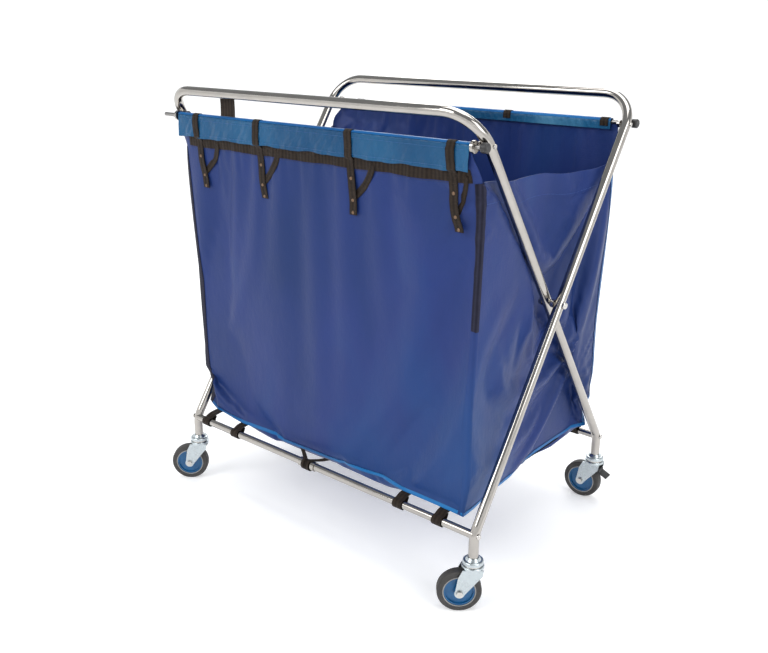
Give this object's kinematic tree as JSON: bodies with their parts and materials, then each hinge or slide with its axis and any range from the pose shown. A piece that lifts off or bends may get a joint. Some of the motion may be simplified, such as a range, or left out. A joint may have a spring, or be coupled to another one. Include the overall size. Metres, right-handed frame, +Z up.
{
  "type": "linen trolley",
  "caption": "Folding linen trolley: crossed chromed tube frames carry a deep blue fabric bag on rods, on swivel castors with brakes.",
  "frame": {"origin": "on the floor, midway between the legs of the rear-top frame and midway between the front and rear feet", "axes": "+X along the bag's long side, -Y towards the front with the knob end at the right, +Z up"},
  "size_m": [1.0314, 0.6708, 1.039],
  "materials": {
    "chrome_tube": "bright chromed steel tube",
    "zinc_plate": "bright zinc plated pressed steel",
    "dark_rod": "dark steel rod",
    "fastener_steel": "bright fastener steel",
    "black_plastic": "moulded black plastic",
    "tyre_rubber": "dark grey rubber",
    "wheel_blue": "moulded blue plastic",
    "bag_fabric": "royal blue coated nylon",
    "hem_fabric": "glossy lighter blue coated nylon",
    "black_webbing": "black-brown woven webbing",
    "stud_brass": "dull brass press studs"
  },
  "bodies": {
    "bag": {"bag_front_panel": "bag_fabric", "bag_rear_panel": "bag_fabric", "bag_right_panel": "bag_fabric", "bag_left_panel": "bag_fabric", "bag_floor": "bag_fabric", "bag_end_hems": "bag_fabric", "bag_corner_bindings": "black_webbing", "under_bag_straps": "black_webbing", "centre_strap_loop": "black_webbing", "pivot_bolts": "fastener_steel", "pivot_nuts": "fastener_steel", "pivot_spacers": "fastener_steel"},
    "front_top_frame": {"front_frame_tube": "chrome_tube", "rear_lower_tube": "chrome_tube", "rear_lower_tube_bolts": "fastener_steel", "front_bag_rod": "dark_rod", "front_rod_knob": "black_plastic", "front_rod_hooks": "chrome_tube", "front_hook_rivets": "fastener_steel", "front_bag_hem": "hem_fabric", "front_hem_straps": "black_webbing", "front_strap_snaps": "stud_brass", "front_hem_band": "black_webbing", "rear_castor_ball_rings": "fastener_steel", "rear_left_castor_head": "zinc_plate", "rear_right_castor_head": "zinc_plate", "front_bar_tab": "black_webbing"},
    "rear_top_frame": {"rear_frame_tube": "chrome_tube", "front_lower_tube": "chrome_tube", "front_lower_tube_bolts": "fastener_steel", "rear_bag_rod": "dark_rod", "rear_rod_knob": "black_plastic", "rear_rod_hooks": "chrome_tube", "rear_hook_rivets": "fastener_steel", "rear_bag_hem": "hem_fabric", "rear_hem_straps": "black_webbing", "rear_strap_snaps": "stud_brass", "rear_hem_band": "black_webbing", "front_castor_ball_rings": "fastener_steel", "front_left_castor_head": "zinc_plate", "front_right_castor_head": "zinc_plate", "centre_sleeve": "chrome_tube"},
    "front_left_swivel": {"front_left_castor_fork": "zinc_plate", "front_left_axle_and_bush": "fastener_steel"},
    "front_left_wheel": {"front_left_wheel_core": "wheel_blue", "front_left_wheel_tyre": "tyre_rubber"},
    "front_right_swivel": {"front_right_castor_fork": "zinc_plate", "front_right_axle_and_bush": "fastener_steel"},
    "front_right_wheel": {"front_right_wheel_core": "wheel_blue", "front_right_wheel_tyre": "tyre_rubber"},
    "rear_left_swivel": {"rear_left_castor_fork": "zinc_plate", "rear_left_axle_and_bush": "fastener_steel"},
    "rear_left_wheel": {"rear_left_wheel_core": "wheel_blue", "rear_left_wheel_tyre": "tyre_rubber"},
    "rear_left_brake": {"rear_left_brake_pedal": "black_plastic"},
    "rear_right_swivel": {"rear_right_castor_fork": "zinc_plate", "rear_right_axle_and_bush": "fastener_steel"},
    "rear_right_wheel": {"rear_right_wheel_core": "wheel_blue", "rear_right_wheel_tyre": "tyre_rubber"},
    "rear_right_brake": {"rear_right_brake_pedal": "black_plastic"}
  },
  "joints": [
    {"name": "front_top_frame_fold", "type": "hinge", "parent": "bag", "child": "front_top_frame", "pos_m": [0, 0, 0.60738], "axis": [-1, 0, 0], "range_deg": [0, 18], "deforming": ["bag_front_panel", "bag_rear_panel", "bag_right_panel", "bag_left_panel", "bag_floor", "bag_end_hems", "bag_corner_bindings", "under_bag_straps", "centre_strap_loop"]},
    {"name": "rear_top_frame_fold", "type": "hinge", "parent": "bag", "child": "rear_top_frame", "pos_m": [0, 0, 0.60738], "axis": [1, 0, 0], "range_deg": [0, 18]},
    {"name": "front_left_castor_swivel", "type": "hinge", "parent": "rear_top_frame", "child": "front_left_swivel", "pos_m": [-0.45, -0.294, 0.112], "axis": [0, 0, 1], "continuous": true},
    {"name": "front_left_wheel_spin", "type": "hinge", "parent": "front_left_swivel", "child": "front_left_wheel", "pos_m": [-0.47145, -0.312, 0.048], "axis": [0.6428, -0.766, 0], "continuous": true},
    {"name": "front_right_castor_swivel", "type": "hinge", "parent": "rear_top_frame", "child": "front_right_swivel", "pos_m": [0.45, -0.294, 0.112], "axis": [0, 0, 1], "continuous": true},
    {"name": "front_right_wheel_spin", "type": "hinge", "parent": "front_right_swivel", "child": "front_right_wheel", "pos_m": [0.42855, -0.312, 0.048], "axis": [0.6428, -0.766, 0], "continuous": true},
    {"name": "rear_left_castor_swivel", "type": "hinge", "parent": "front_top_frame", "child": "rear_left_swivel", "pos_m": [-0.48, 0.294, 0.112], "axis": [0, 0, 1], "continuous": true},
    {"name": "rear_left_wheel_spin", "type": "hinge", "parent": "rear_left_swivel", "child": "rear_left_wheel", "pos_m": [-0.50596, 0.28351, 0.048], "axis": [0.3746, -0.9272, 0], "continuous": true},
    {"name": "rear_left_brake_press", "type": "hinge", "parent": "rear_left_swivel", "child": "rear_left_brake", "pos_m": [-0.46516, 0.29999, 0.084], "axis": [-0.3746, 0.9272, 0], "range_deg": [0, 20]},
    {"name": "rear_right_castor_swivel", "type": "hinge", "parent": "front_top_frame", "child": "rear_right_swivel", "pos_m": [0.42, 0.294, 0.112], "axis": [0, 0, 1], "continuous": true},
    {"name": "rear_right_wheel_spin", "type": "hinge", "parent": "rear_right_swivel", "child": "rear_right_wheel", "pos_m": [0.39204, 0.29253, 0.048], "axis": [0.0523, -0.9986, 0], "continuous": true},
    {"name": "rear_right_brake_press", "type": "hinge", "parent": "rear_right_swivel", "child": "rear_right_brake", "pos_m": [0.43598, 0.29484, 0.084], "axis": [-0.0523, 0.9986, 0], "range_deg": [0, 20]}
  ],
  "couplings": [
    {"joint": "rear_top_frame_fold", "follows": "front_top_frame_fold", "ratio": 1}
  ]
}
